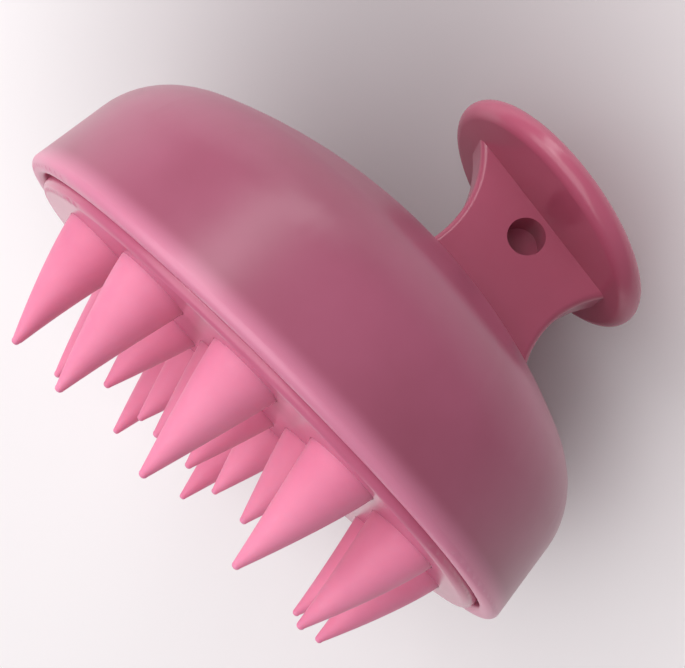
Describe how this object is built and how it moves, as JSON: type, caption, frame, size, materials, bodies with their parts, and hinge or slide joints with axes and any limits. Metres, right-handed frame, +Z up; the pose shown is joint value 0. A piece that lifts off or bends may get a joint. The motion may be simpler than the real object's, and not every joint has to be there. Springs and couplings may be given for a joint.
{
  "type": "scalp massager brush",
  "caption": "A handheld scalp massager: a round plastic dome with a waisted neck and tilted disc knob on top, and soft conical silicone bristles below.",
  "frame": {"origin": "On the floor, under the middle of the round dome, in the plane of the longest bristle tips.", "axes": "+Z points up from the bristle tips to the knob. +X points to the side of the dome above which the low edge of the tilted knob stands. -Y is the side with the blind hole in the neck."},
  "size_m": [0.084, 0.084, 0.0678],
  "materials": {
    "shell_pink": "glossy, slightly translucent moulded plastic",
    "handle_pink": "glossy, slightly translucent moulded plastic",
    "plate_pink": "glossy moulded plastic",
    "silicone_pink": "soft, satin, slightly translucent silicone",
    "clamp_white": "plain matte moulded plastic",
    "screw_steel": "plain bright steel"
  },
  "bodies": {
    "root": {"dome_shell": "shell_pink", "handle": "handle_pink", "base_plate": "plate_pink", "bristle_mat": "silicone_pink", "clamp_plate": "clamp_white", "clamp_screws": "screw_steel", "handle_screws": "screw_steel", "centre_bristle": "silicone_pink", "outer_bristle_01": "silicone_pink", "outer_bristle_02": "silicone_pink", "outer_bristle_03": "silicone_pink", "outer_bristle_04": "silicone_pink", "outer_bristle_05": "silicone_pink", "outer_bristle_06": "silicone_pink", "outer_bristle_07": "silicone_pink", "outer_bristle_08": "silicone_pink", "outer_bristle_09": "silicone_pink", "outer_bristle_10": "silicone_pink", "outer_bristle_11": "silicone_pink", "outer_bristle_12": "silicone_pink", "inner_bristle_1": "silicone_pink", "inner_bristle_2": "silicone_pink", "inner_bristle_3": "silicone_pink", "inner_bristle_4": "silicone_pink", "inner_bristle_5": "silicone_pink", "inner_bristle_6": "silicone_pink"}
  },
  "joints": []
}
